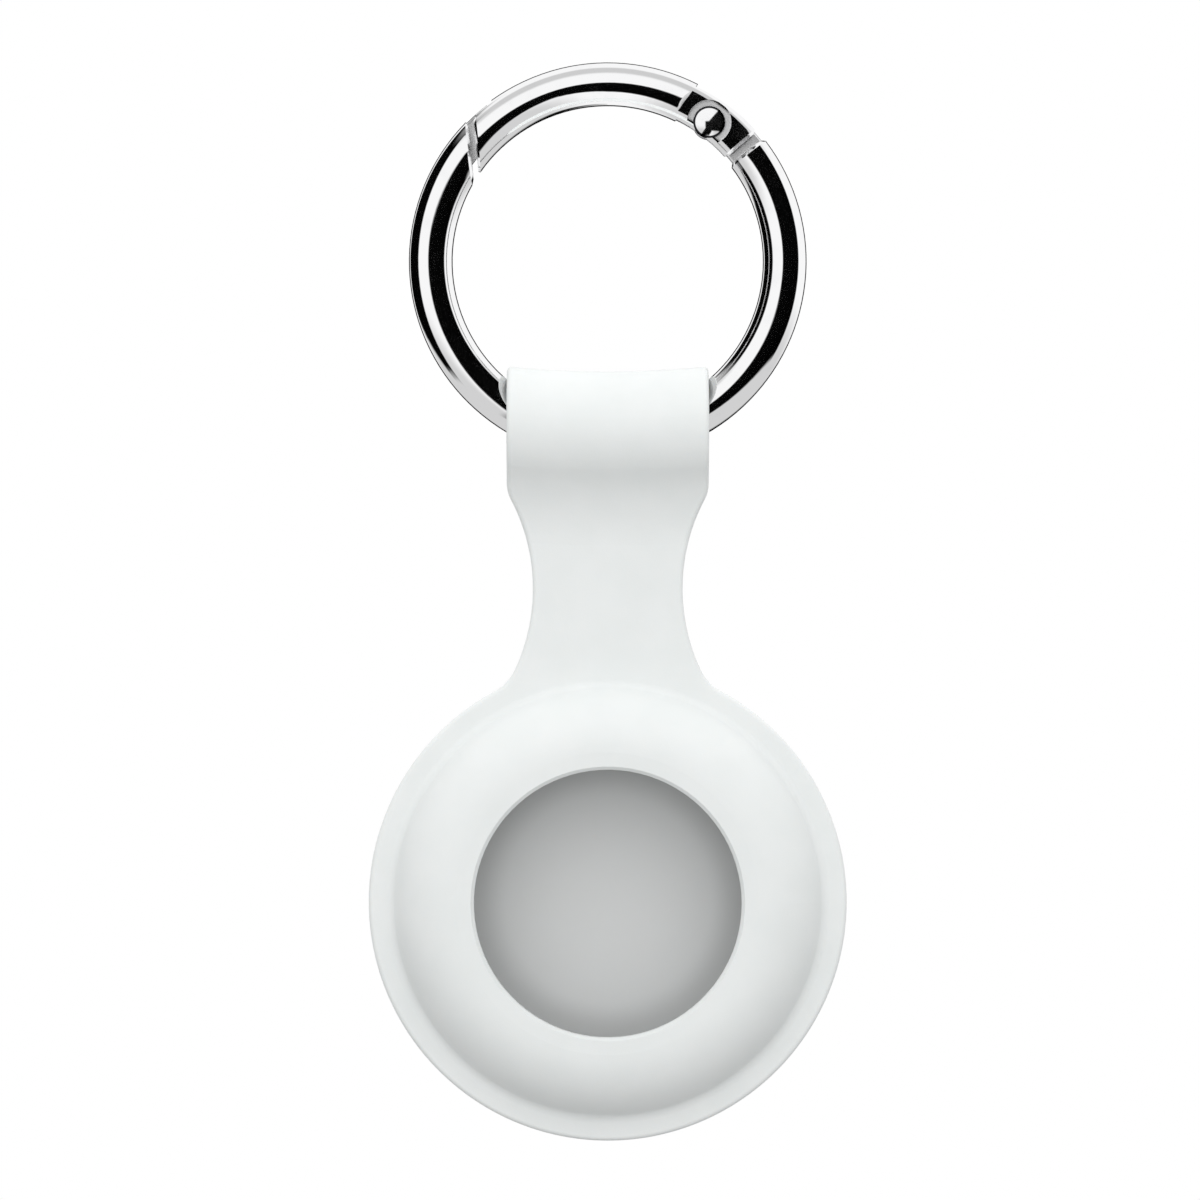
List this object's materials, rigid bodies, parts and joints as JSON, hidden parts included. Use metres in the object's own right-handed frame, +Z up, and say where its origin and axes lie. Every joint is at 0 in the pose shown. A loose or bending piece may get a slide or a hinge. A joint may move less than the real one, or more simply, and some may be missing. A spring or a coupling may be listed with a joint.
{
  "type": "tracker tag holder",
  "caption": "Soft moulded holder with a round snap-in pocket for a coin-shaped tracker tag, a waisted strap and a loop that hangs from a spring-gate key ring.",
  "frame": {"origin": "centre of the ring, on its axis", "axes": "+Z up along the hanging strap, from the pocket to the ring; +Y out of the back, so the pocket's mouth faces -Y; +X to the right seen from the front"},
  "size_m": [0.042, 0.011, 0.0948],
  "materials": {
    "silicone": "matte white silicone",
    "polished_ring": "mirror plated zinc",
    "rivet": "polished steel",
    "spring_steel": "drawn spring steel"
  },
  "bodies": {
    "ring": {"ring_body": "polished_ring"},
    "gate": {"gate": "polished_ring", "hinge_rivet": "rivet", "gate_spring": "spring_steel"},
    "pusher": {"spring_pusher": "spring_steel"},
    "holder": {"holder": "silicone"}
  },
  "joints": [
    {"name": "gate_hinge", "type": "hinge", "parent": "ring", "child": "gate", "pos_m": [0.0089, 0, 0.01216], "axis": [0, -1, 0], "range_deg": [0, 30], "stiffness_Nm_per_rad": 0.006, "springref_deg": -28.65},
    {"name": "pusher_slide", "type": "slide", "parent": "gate", "child": "pusher", "axis": [-0.807, 0, 0.5906], "range_m": [0, 0.00035], "deforming": ["gate_spring"]},
    {"name": "holder_swing", "type": "hinge", "parent": "ring", "child": "holder", "pos_m": [0, 0, -0.0142], "axis": [1, 0, 0], "range_deg": [-160, 160]}
  ],
  "couplings": [
    {"joint": "pusher_slide", "follows": "gate_hinge", "m_per_rad": 0.0006}
  ]
}
